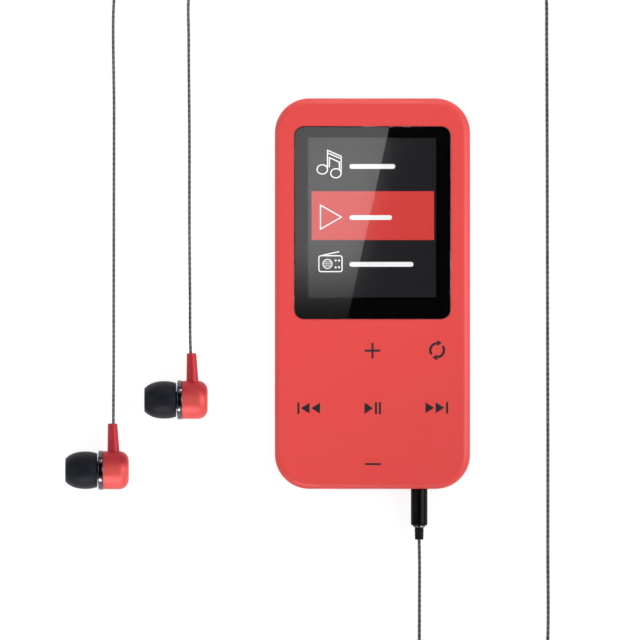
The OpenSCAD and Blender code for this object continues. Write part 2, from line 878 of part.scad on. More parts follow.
// Silicone tip: an inner sleeve on the nozzle, and a domed skirt turned back over it
module ear_tip(at) {
    skirt_t = 0.6;
    sleeve_r = nozzle_r + tip_gap + 0.7;
    widest = 0.35;
    steps = 12;
    outside = [
        for (i = [0 : steps])
            let (
                s = i / steps,
                bulge = s < widest ? 1 - 0.1 * pow(1 - s / widest, 2)
                    : sqrt(1 - pow(0.82 * (s - widest) / (1 - widest), 2.4))
            )
                [tip_r * bulge, s * tip_l]
    ];
    hollow = [
        for (i = [0 : steps - 3])
            [max(sleeve_r, outside[i].x - skirt_t), outside[i].y + (i == 0 ? 0 : cut)]
    ];
    color(black)
    on_bud(at)
        translate([0, 0, tip_start])
            difference() {
                rotate_extrude() polygon(concat([[0, 0]], outside, [[0, tip_l]]));
                translate([0, 0, -cut])
                    rotate_extrude()
                        polygon(concat([[sleeve_r, 0]], hollow, [[sleeve_r, hollow[steps - 3].y]]));
                translate([0, 0, -cut]) cylinder(r = nozzle_r + tip_gap, h = nozzle_l + 0.2 + cut);
                cylinder(r = nozzle_r - 0.5, h = tip_l + cut);
            }
}

front_shell();
rear_cover();
screen_lens();
lens_tape();
lcd_panel();
lcd_frame();
backlight();
lcd_flex();
lcd_connector();
touch_film();
touch_connector();
main_board();
processor_chip();
memory_chip();
radio_chip();
crystal();
board_capacitors();
battery();
battery_tape();
battery_leads();
jack_socket();
jack_springs();
usb_socket();
usb_tongue();
card_slot();
power_switch_body();
power_switch_knob();
board_screws();
plug_contacts();
plug_insulators();
plug_barrel();
plug_relief();
main_cord();
main_coil();
main_coil_tie();
cord_splitter();
left_cord();
right_cord();
branch_coil();
branch_coil_tie();
housing(left_bud);  // left_housing
stem(left_bud);  // left_stem
ring(left_bud);  // left_ring
nozzle(left_bud);  // left_nozzle
sound_mesh(left_bud);  // left_mesh
driver(left_bud);  // left_driver
ear_tip(left_bud);  // left_ear_tip
housing(right_bud);  // right_housing
stem(right_bud);  // right_stem
ring(right_bud);  // right_ring
nozzle(right_bud);  // right_nozzle
sound_mesh(right_bud);  // right_mesh
driver(right_bud);  // right_driver
ear_tip(right_bud);  // right_ear_tip
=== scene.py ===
import math

import bmesh
import bpy
from mathutils import Matrix, Vector


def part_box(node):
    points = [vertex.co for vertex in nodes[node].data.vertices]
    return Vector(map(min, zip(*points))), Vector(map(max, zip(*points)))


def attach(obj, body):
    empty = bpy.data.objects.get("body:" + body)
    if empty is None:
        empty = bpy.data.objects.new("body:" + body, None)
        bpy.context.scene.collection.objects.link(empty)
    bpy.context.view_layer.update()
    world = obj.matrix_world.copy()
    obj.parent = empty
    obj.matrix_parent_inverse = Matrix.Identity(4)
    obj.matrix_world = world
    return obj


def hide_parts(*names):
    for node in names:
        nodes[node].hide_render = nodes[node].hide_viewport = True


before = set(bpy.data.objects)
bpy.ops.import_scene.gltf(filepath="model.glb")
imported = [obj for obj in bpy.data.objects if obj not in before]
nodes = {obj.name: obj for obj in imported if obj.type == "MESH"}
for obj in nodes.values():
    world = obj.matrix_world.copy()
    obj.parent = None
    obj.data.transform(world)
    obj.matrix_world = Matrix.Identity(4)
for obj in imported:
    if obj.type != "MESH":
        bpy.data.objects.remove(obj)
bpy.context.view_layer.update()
mm = 0.001
print("frame loaded:", len(nodes), "nodes")


# ---- camera ----

view = {
    "aim": (-11.55, -5.8),  # mm, the point straight below the camera
    "height": 2500,  # mm above the table
    "across": 140.8,  # mm that the view takes in at the height of the player's face
    "face": 8.6,  # mm, height of the player's face
    "sensor": 36,
}

cameraData = bpy.data.cameras.new("overheadCamera")
cameraData.sensor_width = view["sensor"]
cameraData.lens = view["sensor"] * (view["height"] - view["face"]) / view["across"]
cameraData.clip_start = 0.05
cameraData.clip_end = 20
camera = bpy.data.objects.new("overheadCamera", cameraData)
camera.location = (view["aim"][0] * mm, view["aim"][1] * mm, view["height"] * mm)
bpy.context.scene.collection.objects.link(camera)
bpy.context.scene.camera = camera
bpy.context.scene.view_settings.view_transform = "Standard"
print("camera placed, lens", round(cameraData.lens, 1))


# ---- shader sockets and finishes ----

def pair(operation, swapped=False):
    # a method that puts two values through one Math node
    def apply(self, other):
        return self.maths(operation, *((other, self) if swapped else (self, other)))
    return apply


class Sock:
    # one socket of a node tree: arithmetic on it adds the Math nodes
    def __init__(self, tree, socket=None):
        self.tree = tree
        self.socket = socket

    def make(self, kind, sockets=None, out=0, **settings):
        node = self.tree.nodes.new(kind)
        for name, value in settings.items():
            setattr(node, name, value)
        for name, value in (sockets or {}).items():
            if isinstance(value, Sock):
                self.tree.links.new(value.socket, node.inputs[name])
            else:
                node.inputs[name].default_value = value
        return Sock(self.tree, node.outputs[out])

    def maths(self, operation, *values):
        return self.make("ShaderNodeMath", dict(enumerate(values)), operation=operation)

    __add__ = __radd__ = pair("ADD")
    __mul__ = __rmul__ = pair("MULTIPLY")
    __sub__ = pair("SUBTRACT")
    __rsub__ = pair("SUBTRACT", swapped=True)
    __truediv__ = pair("DIVIDE")
    larger = pair("MAXIMUM")
    smaller = pair("MINIMUM")

    def sine(self):
        return self.maths("SINE", self)

    def coordinate(self, kind, axis):
        # one axis, 0 to 2, of the Object, UV or Generated coordinates
        coords = self.make("ShaderNodeTexCoord", out=kind)
        return self.make("ShaderNodeSeparateXYZ", {0: coords}, out=axis)

    def between(self, low, high, soft="SMOOTHSTEP"):
        # 0 below low, 1 above high
        sockets = {"Value": self, "From Min": low, "From Max": high}
        return self.make("ShaderNodeMapRange", sockets, interpolation_type=soft)

    def blend(self, first, second):
        # this socket as the factor between two colours
        return self.make("ShaderNodeMix", {0: self, 6: first, 7: second}, out=2, data_type="RGBA")


def srgb(red, green, blue):
    def linear(value):
        value = value / 255
        return value / 12.92 if value <= 0.04045 else ((value + 0.055) / 1.055) ** 2.4
    return (linear(red), linear(green), linear(blue), 1)


def shade(colour, factor):
    return tuple(min(1, part * factor) for part in colour[:3]) + (1,)


def newFinish(name, fixed):
    material = bpy.data.materials.new(name)
    material.use_nodes = True
    shader = material.node_tree.nodes["Principled BSDF"]
    for socket, value in fixed.items():
        shader.inputs[socket].default_value = value
    return material, shader, Sock(material.node_tree)


def wire(shader, **links):
    # BaseColor=..., Roughness=... : links values to the shader's sockets
    names = {"BaseColor": "Base Color", "EmissionColor": "Emission Color"}
    for name, value in links.items():
        value.tree.links.new(value.socket, shader.inputs[names.get(name, name)])


def objectPlace(start, stretch=(1, 1, 1)):
    # object coordinates, stretched
    coords = start.make("ShaderNodeTexCoord", out="Object")
    return start.make("ShaderNodeMapping", {"Vector": coords, "Scale": stretch}, vector_type="POINT")


def grains(start, place, grainSize, detail=2):
    # noise whose blobs are about grainSize metres wide
    sockets = {"Vector": place, "Scale": 0.5 / grainSize, "Detail": detail, "Roughness": 0.5}
    return start.make("ShaderNodeTexNoise", sockets, out="Fac", noise_dimensions="3D")


def dress(start, shader, colour, rough, height, depth, strength):
    # colour, roughness and the bump of height, which is depth mm high
    normal = start.make("ShaderNodeBump", {"Height": height, "Distance": depth * mm, "Strength": strength})
    wire(shader, BaseColor=colour, Roughness=rough, Normal=normal)


def mouldedFinish(name, look):
    # satin moulded, painted or rolled surface: fine grain and soft cloudy variation
    material, shader, start = newFinish(name, {
        "Metallic": look.get("metal", 0.0), "IOR": 1.5, "Specular IOR Level": look.get("shine", 0.5)})
    place = objectPlace(start, stretch=look.get("stretch", (1, 1, 1)))
    fine = grains(start, place, look.get("grain", 0.15) * mm)
    cloudy = grains(start, place, look.get("cloud", 6) * mm, detail=3)
    vary = look.get("vary", 0.06)
    tone = (fine - 0.5) * vary + (cloudy - 0.5) * vary * 1.5
    mixed = (tone + 0.5).blend(shade(look["colour"], 1 - vary * 2), shade(look["colour"], 1 + vary * 2))
    # painted shade: past the fade's band along Y the colour turns to the darker one given, so that side
    # looks shaded
    if "fade" in look:
        low, high = look["fade"]
        mixed = start.coordinate("Object", 1).between(low * mm, high * mm).blend(mixed, look["paintedShadeColour"])
    roughVary = look.get("roughVary", 0.12)
    rough = (fine - 0.5) * roughVary + (cloudy - 0.5) * roughVary + look.get("rough", 0.45)
    dress(start, shader, mixed, rough, fine, look.get("depth", 0.006), look.get("bump", 0.5))
    return material


coralTone = srgb(227, 68, 65)

shellLook = {
    "colour": coralTone, "rough": 0.44, "grain": 0.16, "cloud": 2.2, "vary": 0.045, "roughVary": 0.1,
    "depth": 0.004, "bump": 0.35,
}

plainLooks = {  # moulded finishes, by the record's slot
    "black_print": {
        "colour": srgb(5, 5, 7), "rough": 0.85, "grain": 0.05, "vary": 0.05, "shine": 0.08},
    "white_plastic": {"colour": srgb(226, 224, 216), "rough": 0.5, "grain": 0.2, "vary": 0.03},
    "light_guide": {"colour": srgb(236, 240, 244), "rough": 0.25, "grain": 0.4, "vary": 0.03},
    "chip_resin": {"colour": srgb(34, 35, 38), "rough": 0.6, "grain": 0.06, "vary": 0.12, "depth": 0.01},
    "battery_foil": {
        "colour": srgb(196, 198, 202), "metal": 1.0, "rough": 0.32, "grain": 0.9, "cloud": 11,
        "vary": 0.06, "depth": 0.06, "bump": 0.6},
    "foam_tape": {"colour": srgb(30, 30, 32), "rough": 0.9, "grain": 0.12, "vary": 0.2, "depth": 0.05},
    "black_plastic": {"colour": srgb(22, 22, 24), "rough": 0.42, "grain": 0.1, "vary": 0.08},
    "gold_contact": {
        "colour": srgb(222, 186, 110), "metal": 1.0, "rough": 0.24, "grain": 0.3, "vary": 0.05,
        "stretch": (4, 0.5, 4)},
    "sheet_steel": {
        "colour": srgb(190, 191, 194), "metal": 1.0, "rough": 0.3, "grain": 0.08, "vary": 0.05,
        "stretch": (1, 0.12, 1)},
    "switch_plastic": {"colour": srgb(40, 42, 50), "rough": 0.38, "grain": 0.1, "vary": 0.08},
    "driver_metal": {
        "colour": srgb(168, 169, 172), "metal": 1.0, "rough": 0.35, "grain": 0.1, "vary": 0.05},
    "silicone": {
        "colour": srgb(22, 24, 32), "rough": 0.46, "grain": 0.1, "cloud": 2.5, "vary": 0.08,
        "depth": 0.008, "bump": 0.4, "shine": 0.18},
    "plug_black": {
        "colour": srgb(8, 8, 11), "rough": 0.22, "grain": 0.25, "cloud": 2, "vary": 0.1,
        "roughVary": 0.08, "depth": 0.002, "bump": 0.3, "shine": 0.08},
    "relief_rubber": {
        "colour": srgb(14, 14, 17), "rough": 0.5, "grain": 0.08, "vary": 0.1, "depth": 0.01,
        "shine": 0.15},
    "bud_metal": {
        "colour": srgb(222, 66, 66), "metal": 0.45, "rough": 0.5, "grain": 0.07, "cloud": 3, "vary": 0.04,
        "roughVary": 0.1, "stretch": (0.25, 1, 1), "depth": 0.003, "bump": 0.4},
    "bud_ring": {
        "colour": srgb(96, 92, 100), "metal": 1.0, "rough": 0.14, "grain": 0.08, "vary": 0.05,
        "roughVary": 0.05, "depth": 0.001, "bump": 0.2},
}

finishes = {"coral_shell": mouldedFinish("coral_shell", shellLook)}
for slotName, look in plainLooks.items():
    finishes[slotName] = mouldedFinish(slotName, look)


def glassFinish(name):
    material, shader, start = newFinish(name, {
        "Base Color": (0.98, 0.985, 0.99, 1), "Transmission Weight": 1.0, "IOR": 1.5})
    place = objectPlace(start)
    wiped = grains(start, place, 7 * mm, detail=4)
    wire(shader, Roughness=wiped.between(0.52, 0.8) * 0.015)
    return material


def displayFinish(name):
    material, shader, start = newFinish(name, {"Metallic": 0.0, "IOR": 1.5})
    fine = grains(start, objectPlace(start), 0.2 * mm)
    wire(shader, BaseColor=fine.blend((0.004, 0.004, 0.005, 1), (0.007, 0.007, 0.008, 1)))
    wire(shader, Roughness=(fine - 0.5) * 0.02 + 0.04)
    return material


def litFinish(name, colour, dark=0.5, gloss=0.05):
    # a lit part of the picture, with the faint grid of its cells
    material, shader, start = newFinish(name, {
        "Base Color": (0.005, 0.005, 0.006, 1), "Emission Strength": 1.0, "IOR": 1.62})
    cellSize = 0.11 * mm
    cells = [(start.coordinate("Object", axis) * (2 * math.pi / cellSize)).sine() for axis in (0, 1)]
    grid = (cells[0] * cells[1]).between(-1, 1, "LINEAR")
    wire(shader, EmissionColor=grid.blend(shade(colour, 1 - dark * 0.1), shade(colour, 1 + dark * 0.1)))
    wire(shader, Roughness=(grid - 0.5) * 0.01 + gloss)
    return material


def boardFinish(name):
    material, shader, start = newFinish(name, {"IOR": 1.5})
    place = objectPlace(start)
    tracks = start.make("ShaderNodeTexBrick", {
        "Vector": place, "Scale": 260, "Mortar Size": 0.012, "Mortar Smooth": 0.3,
        "Brick Width": 1.1, "Row Height": 0.24}, out="Fac", offset=0.4, squash=1.6)
    fine = grains(start, place, 0.12 * mm)
    mask = fine.blend(srgb(14, 58, 40), srgb(19, 70, 48))
    dress(start, shader, tracks.blend(mask, srgb(52, 118, 76)), (fine - 0.5) * 0.1 + 0.3, tracks, 0.02, 0.6)
    return material


def filmFinish(name):
    # amber flex film with copper tracks along Y
    material, shader, start = newFinish(name, {"IOR": 1.5})
    trackPitch = 0.6 * mm
    tracks = (start.coordinate("Object", 0) * (2 * math.pi / trackPitch)).sine().between(0.1, 0.4)
    fine = grains(start, objectPlace(start), 0.15 * mm)
    copper = tracks.blend(srgb(196, 120, 38), srgb(214, 148, 78))
    dress(start, shader, copper, (fine - 0.5) * 0.1 + 0.32, tracks, 0.01, 0.6)
    return material


def capacitorFinish(name):
    # beige ceramic
    material, shader, start = newFinish(name, {"IOR": 1.5})
    fine = grains(start, objectPlace(start), 0.08 * mm)
    beige = fine.blend(srgb(150, 118, 84), srgb(172, 140, 102))
    dress(start, shader, beige, (fine - 0.5) * 0.2 + 0.5, fine, 0.008, 0.5)
    return material


def wireFinish(name):
    # red and black covers, split at the middle between the two leads
    material, shader, start = newFinish(name, {"IOR": 1.5})
    low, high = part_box("battery_leads")
    middle = (low.x + high.x) / 2
    soft = 0.02 * mm
    side = start.coordinate("Object", 0).between(middle - soft, middle + soft)
    fine = grains(start, objectPlace(start), 0.2 * mm)
    covers = side.blend(srgb(24, 24, 26), srgb(178, 28, 26))
    dress(start, shader, covers, (fine - 0.5) * 0.15 + 0.4, fine, 0.01, 0.4)
    return material


braid = {
    "pitch": 1.12,  # mm along the cord from one dark crossing to the next
    "starts": 2,  # strands of each colour round the cord, each way
    "threads": 5,  # threads in a strand
    "dark": srgb(8, 8, 12),
    "pale": srgb(122, 124, 133),
    "relief": 0.04,  # mm that a crossing stands proud
}


def braidFinish(name):
    # woven cover: v runs along the cord in pitches, u goes once round it
    material, shader, start = newFinish(name, {"IOR": 1.45})
    around = start.coordinate("UV", 0)
    along = start.coordinate("UV", 1)
    turn = 2 * math.pi
    oneWay = (around * braid["starts"] + along / 2) * turn
    otherWay = (around * braid["starts"] - along / 2) * turn
    crossing = oneWay.sine() * otherWay.sine()
    threads = (oneWay * braid["threads"]).sine() * (otherWay * braid["threads"]).sine()
    fuzz = grains(start, objectPlace(start), 0.09 * mm)
    worn = grains(start, objectPlace(start), 1.6 * mm)
    tone = crossing.between(-0.5, 0.5) * 0.72 + threads * 0.1
    tone = tone + (fuzz - 0.5) * 0.3 + (worn - 0.5) * 0.6 + 0.14
    colour = tone.blend(braid["dark"], braid["pale"])
    height = crossing * 0.4 + threads * 0.3 + fuzz
    dress(start, shader, colour, (fuzz - 0.5) * 0.2 + 0.75, height, 0.05, 0.7)
    return material


def bandFinish(name):
    # woven loop tape
    material, shader, start = newFinish(name, {"IOR": 1.45})
    place = objectPlace(start)
    loops = start.make("ShaderNodeTexVoronoi", {"Vector": place, "Scale": 3600}, feature="F1")
    fuzz = grains(start, place, 0.12 * mm)
    tone = (fuzz * 0.7 + loops * 0.5).blend(srgb(15, 15, 17), srgb(40, 40, 44))
    dress(start, shader, tone, (fuzz - 0.5) * 0.2 + 0.85, loops, 0.06, 0.8)
    return material


def meshFinish(name):
    # perforated steel over the nozzle
    material, shader, start = newFinish(name, {"Metallic": 1.0, "IOR": 1.5})
    place = objectPlace(start)
    holes = start.make("ShaderNodeTexVoronoi", {
        "Vector": place, "Scale": 3000, "Randomness": 0.0}, feature="F1")
    opening = 1 - holes.between(0.25, 0.4)
    # the holes are painted near black: painted shade in place of the dark inside of real holes
    steel = opening.blend(srgb(150, 151, 155), srgb(12, 12, 14))
    dress(start, shader, steel, opening * 0.5 + 0.3, opening, 0.05, 0.6)
    return material


makers = {
    "screen_window": glassFinish, "display_panel": displayFinish, "circuit_board": boardFinish,
    "flex_film": filmFinish, "chip_ceramic": capacitorFinish, "wire_cover": wireFinish,
    "cord_braid": braidFinish, "tie_band": bandFinish, "sound_mesh": meshFinish}
for slotName, maker in makers.items():
    finishes[slotName] = maker(slotName)
finishes["shell_print"] = mouldedFinish("shell_print", {
    "colour": srgb(24, 26, 36), "rough": 0.5, "grain": 0.06, "vary": 0.08})
collarLook = plainLooks["bud_ring"] | {"colour": srgb(124, 122, 128)}
finishes["plug_collar"] = mouldedFinish("plug_collar", collarLook)
finishes["picture_field"] = litFinish("picture_field", srgb(34, 34, 36), 0.4)
finishes["picture_row"] = litFinish("picture_row", srgb(218, 68, 64), 0.15)
finishes["picture_white"] = litFinish("picture_white", srgb(255, 255, 255), 0.1)

for nodeName, node in nodes.items():
    for slot in node.material_slots:
        slotName = slot.material.name.split(".")[0]
        if slotName in finishes:
            slot.material = finishes[slotName]
for side in ("left", "right"):
    nodes[side + "_mesh"].material_slots[0].material = finishes["sound_mesh"]
print("finishes made:", len(finishes))


# ---- mesh helpers ----

def addPiece(name, build, finish, body, replaced=(), angle=35):
    # bmesh in world metres to a finished piece
    bmesh.ops.recalc_face_normals(build, faces=build.faces)
    mesh = bpy.data.meshes.new(name)
    build.to_mesh(mesh)
    build.free()
    return keepPiece(name, mesh, finish, body, replaced, angle)


def keepPiece(name, mesh, finish, body, replaced=(), angle=35):
    # the record's slot has the finish's name
    mesh.shade_smooth()
    mesh.set_sharp_from_angle(angle=math.radians(angle))
    for face in mesh.polygons:
        if len(face.vertices) > 4:
            face.use_smooth = False  # flat ends stay flat
    mesh.materials.clear()
    mesh.materials.append(finishes[finish])
    piece = bpy.data.objects.new(name, mesh)
    bpy.context.scene.collection.objects.link(piece)
    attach(piece, body)
    if replaced:
        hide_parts(*replaced)
    return piece


def rings(build, loops, joined=False):
    # skins a list of vertex loops; a loop of one vertex is a pole, and larger ends are capped
    pairs = list(zip(loops, loops[1:]))
    if joined:
        pairs.append((loops[-1], loops[0]))
    for first, second in pairs:
        count = max(len(first), len(second))
        for i in range(count):
            j = (i + 1) % count
            corners = [first[i % len(first)], first[j % len(first)]]
            corners += [second[j % len(second)], second[i % len(second)]]
            kept = []
            for corner in corners:
                if corner not in kept:
                    kept.append(corner)
            build.faces.new(kept)
    if not joined:
        for end in (loops[0], loops[-1]):
            if len(end) > 2:
                build.faces.new(end)


def spun(build, profile, place, steps=64, joined=False):
    # profile of (along, radius) in mm, spun round its axis; place turns it into the world
    loops = []
    for along, radius in profile:
        if radius < 1e-6:
            loops.append([build.verts.new(place @ Vector((0, 0, along)))])
            continue
        loop = []
        for i in range(steps):
            turn = 2 * math.pi * i / steps
            spot = Vector((radius * math.cos(turn), radius * math.sin(turn), along))
            loop.append(build.verts.new(place @ spot))
        loops.append(loop)
    rings(build, loops, joined=joined)


def eased(points, radii, steps=5):
    # rounds the corners of an open profile; radii gives each corner's rounding
    out = []
    last = len(points) - 1
    for i, point in enumerate(points):
        radius = radii[i]
        here = Vector(point)
        if radius == 0 or i in (0, last):
            out.append(tuple(here))
            continue
        back = (Vector(points[i - 1]) - here).normalized()
        ahead = (Vector(points[i + 1]) - here).normalized()
        half = back.angle(ahead) / 2
        reach = radius / math.tan(half)
        start = here + back * reach
        end = here + ahead * reach
        centre = here + (back + ahead).normalized() * (radius / math.sin(half))
        for step in range(steps + 1):
            part = step / steps
            way = (start - centre).lerp(end - centre, part).normalized()
            out.append(tuple(centre + way * radius))
    return out


def slab(build, outline, low, high, at=(0, 0)):
    # thin solid from one outline in mm
    sheets = []
    for z in (low, high):
        sheets.append([build.verts.new(((x + at[0]) * mm, (y + at[1]) * mm, z * mm)) for x, y in outline])
    rings(build, sheets)


def stroke(build, points, width, low, high, closed=False):
    # flat line of even width through points in mm, mitred at its corners
    count = len(points)
    sides = []
    for i, point in enumerate(points):
        here = Vector(point)
        before = Vector(points[i - 1]) if (i > 0 or closed) else None
        after = Vector(points[(i + 1) % count]) if (i < count - 1 or closed) else None
        ways = []
        if before is not None:
            ways.append((here - before).normalized())
        if after is not None:
            ways.append((after - here).normalized())
        mean = (ways[0] + ways[-1]).normalized()
        across = Vector((-mean.y, mean.x))
        own = Vector((-ways[0].y, ways[0].x))
        reach = width / 2 / max(0.35, across.dot(own))
        sides.append((here + across * reach, here - across * reach))
    sections = []
    for left, right in sides:
        corners = [(left, low), (right, low), (right, high), (left, high)]
        sections.append([build.verts.new((p.x * mm, p.y * mm, z * mm)) for p, z in corners])
    rings(build, sections, joined=closed)


def roundBox(x, y, width, height, radius, steps=8):
    points = []
    corners = [(1, 1, 0), (-1, 1, 90), (-1, -1, 180), (1, -1, 270)]
    for sx, sy, begin in corners:
        for step in range(steps + 1):
            turn = math.radians(begin + 90 * step / steps)
            cx = x + sx * (width / 2 - radius)
            cy = y + sy * (height / 2 - radius)
            points.append((cx + radius * math.cos(turn), cy + radius * math.sin(turn)))
    return points


def arc(x, y, radius, begin, end, steps, squeeze=1):
    points = []
    for step in range(steps + 1):
        turn = math.radians(begin + (end - begin) * step / steps)
        points.append((x + radius * math.cos(turn), y + radius * squeeze * math.sin(turn)))
    return points


# ---- cords ----

mainCord = {
    "diameter": 0.76, "length": 0.76, "lies": 0.42,  # height of the points that have none of their own
    "route": [
        (10.3, -54.2, 4.2), (10.35, -57, 4.1), (10.4, -60, 3.5), (10.4, -64, 2.1), (10.4, -68, 0.9),
        (10.4, -72), (10.4, -77), (10.7, -82), (12, -86.5), (15, -90.5),
        (19.3, -93.3), (24.3, -94.3), (29.3, -93.3), (33.5, -90.5),
        (36.5, -86.5), (38.2, -82), (38.7, -77), (38.75, -55), (38.75, -30),
        (38.67, 0), (38.6, 30), (38.5, 55), (38.4, 66), (37.9, 71),
        (36.5, 76), (34, 80), (30.5, 83.5), (26, 85.8, 0.5), (20.5, 86.65, 0.63)],
    "coil": {
        "at": (18, 80.73),
        "rows": [(0.63, (5.92, 5.16, 4.4, 3.64, 2.88)), (1.3, (3.26, 4.02, 4.78, 5.54)),
                 (1.97, (5.92, 5.16, 4.4, 3.64, 2.88)), (2.64, (3.26, 4.02, 4.78, 5.54))]},
    "end": [(16, 86.25, 2.6), (13, 86.3, 2.4), (9.5, 86.3, 1.9), (7, 86.3, 1.6), (5, 86.3, 1.5)],
}

leftCord = {
    "diameter": 0.64, "length": 0.36, "lies": 0.35,
    "route": [(-5, 86.75, 1.5), (-8, 86.9, 1.25), (-11, 86.9, 0.85), (-14.5, 86.8, 0.6)],
    "coil": {
        "at": (-16, 82.24),
        "rows": [(0.57, (4.56, 3.28)), (1.21, (3.28, 4.56)), (1.85, (4.56, 3.28)), (2.49, (3.28, 4.56))]},
    "end": [
        (-17.5, 86.8, 2.48), (-22, 87, 1.9), (-28, 86.9, 0.9), (-35, 86, 0.38), (-42, 84),
        (-48, 81), (-53, 76.5), (-56, 71), (-57, 65), (-57, 40),
        (-57.05, 15), (-57.08, -5), (-57.08, -13, 0.6), (-57.08, -18, 1.5), (-57.08, -22, 2.9),
        (-57.08, -25.5, 4), (-57.08, -28.6, 4.35)],
}

rightCord = {
    "diameter": 0.64, "length": 0.29, "lies": 0.35,
    "route": [(-5, 85.85, 1.5), (-8, 85.9, 1.25), (-11, 86, 0.85), (-14.5, 86.16, 0.6)],
    "coil": {
        "at": (-16, 82.24),
        "rows": [(0.57, (3.92, 2.64)), (1.21, (2.64, 3.92)), (1.85, (3.92, 2.64)), (2.49, (2.64, 3.92))]},
    "end": [
        (-17.5, 86.16, 2.48), (-22, 85.8, 1.9), (-27, 84.5, 1), (-32, 82, 0.45), (-36, 78),
        (-38.9, 73), (-40.4, 67), (-40.52, 55), (-40.37, 35), (-40.36, 15),
        (-40.27, 3, 0.5), (-40.22, -2, 1.4), (-40.2, -6.5, 2.9), (-40.15, -10, 4), (-40.05, -13.1, 4.35)],
}


def coilPoints(coil, perTurn=20, shift=0.3):
    # turns in their rows; each moves to the next one's place over the end of its turn
    places = [(radius, height) for height, radii in coil["rows"] for radius in radii]
    points = []
    for k, (radius, height) in enumerate(places):
        nextRadius, nextHeight = places[min(k + 1, len(places) - 1)]
        for step in range(perTurn):
            part = step / perTurn
            ease = max(0, (part - 1 + shift) / shift)
            ease = ease * ease * (3 - 2 * ease)
            r = radius + (nextRadius - radius) * ease
            turn = math.pi / 2 + 2 * math.pi * part
            x = coil["at"][0] + r * math.cos(turn)
            y = coil["at"][1] + r * math.sin(turn)
            points.append((x, y, height + (nextHeight - height) * ease))
    radius, height = places[-1]
    points.append((coil["at"][0], coil["at"][1] + radius, height))
    return points


def smoothLine(points, fine=0.05):
    # centripetal curve through the points, in small steps
    points = [Vector(p) for p in points]
    line = []
    for i in range(len(points) - 1):
        p1 = points[i]
        p2 = points[i + 1]
        p0 = points[i - 1] if i > 0 else p1 * 2 - p2
        p3 = points[i + 2] if i + 2 < len(points) else p2 * 2 - p1
        t1 = math.sqrt((p1 - p0).length)
        t2 = t1 + math.sqrt((p2 - p1).length)
        t3 = t2 + math.sqrt((p3 - p2).length)
        count = max(2, int((p2 - p1).length / fine))
        for step in range(count):
            t = t1 + (t2 - t1) * step / count
            a1 = p0 * ((t1 - t) / t1) + p1 * (t / t1)
            a2 = p1 * ((t2 - t) / (t2 - t1)) + p2 * ((t - t1) / (t2 - t1))
            a3 = p2 * ((t3 - t) / (t3 - t2)) + p3 * ((t - t2) / (t3 - t2))
            b1 = a1 * ((t2 - t) / t2) + a2 * (t / t2)
            b2 = a2 * ((t3 - t) / (t3 - t1)) + a3 * ((t - t1) / (t3 - t1))
            line.append(b1 * ((t2 - t) / (t2 - t1)) + b2 * ((t - t1) / (t2 - t1)))
    line.append(points[-1])
    return line


def evenSteps(line, step):
    # the same line again with points an even step apart
    total = sum((b - a).length for a, b in zip(line, line[1:]))
    count = round(total / step)
    step = total / count
    out = [line[0]]
    run = 0
    for a, b in zip(line, line[1:]):
        piece = (b - a).length
        while run + piece >= step * len(out) and len(out) < count:
            out.append(a.lerp(b, (step * len(out) - run) / piece))
        run += piece
    out.append(line[-1])
    return out, total


def sweptCord(name, cord, replaced, step=0.21, sides=12):
    points = cord["route"] + coilPoints(cord["coil"]) + cord["end"]
    points = [point if len(point) == 3 else (*point, cord["lies"]) for point in points]
    line, total = evenSteps(smoothLine(points), step)
    radius = cord["diameter"] / 2
    side = Vector((0, 0, 1)).cross(line[1] - line[0]).normalized()
    verts = []
    for i, here in enumerate(line):
        way = (line[min(i + 1, len(line) - 1)] - line[max(i - 1, 0)]).normalized()
        side = (side - way * side.dot(way)).normalized()  # carried along without twist
        up = way.cross(side)
        v = i * step / braid["pitch"]
        for j in range(sides):
            u = j / sides
            turn = 2 * math.pi
            strand = braid["starts"] * u
            crossing = math.sin(turn * (strand + v)) * math.sin(turn * (strand - v))
            r = radius + braid["relief"] * (crossing - 1) / 2
            verts.append((here + (side * math.cos(turn * u) + up * math.sin(turn * u)) * r) * mm)
    faces = []
    uvs = []
    for i in range(len(line) - 1):
        for j in range(sides):
            k = (j + 1) % sides
            faces.append((i * sides + j, i * sides + k, (i + 1) * sides + k, (i + 1) * sides + j))
            for u, v in ((j, i), (j + 1, i), (j + 1, i + 1), (j, i + 1)):
                uvs.extend((u / sides, v * step / braid["pitch"]))
    last = (len(line) - 1) * sides
    faces.append(tuple(range(sides - 1, -1, -1)))
    faces.append(tuple(range(last, last + sides)))
    uvs.extend([0.5] * (4 * sides))
    mesh = bpy.data.meshes.new(name)
    mesh.from_pydata(verts, [], faces)
    mesh.uv_layers.new(name="round_and_along").data.foreach_set("uv", uvs)
    if not facesOut(mesh):
        mesh.flip_normals()
    mesh.update()
    piece = keepPiece(name, mesh, "cord_braid", "earphones", replaced, angle=70)
    print(name, "length", round(total), "mm,", len(faces), "faces")
    return piece, [tuple(p * mm) for p in line]


def facesOut(mesh):
    # signed volume of a closed mesh
    volume = 0
    for face in mesh.polygons:
        first = mesh.vertices[face.vertices[0]].co
        for a, b in zip(face.vertices[1:], face.vertices[2:]):
            volume += first.dot(mesh.vertices[a].co.cross(mesh.vertices[b].co))
    return volume > 0


mainPiece, mainLine = sweptCord("main_cord_braid", mainCord, ("main_cord", "main_coil"))
leftPiece, leftLine = sweptCord("left_cord_braid", leftCord, ("left_cord", "branch_coil"))
rightPiece, rightLine = sweptCord("right_cord_braid", rightCord, ("right_cord", "branch_coil"))


# ---- plug, splitter and ties ----

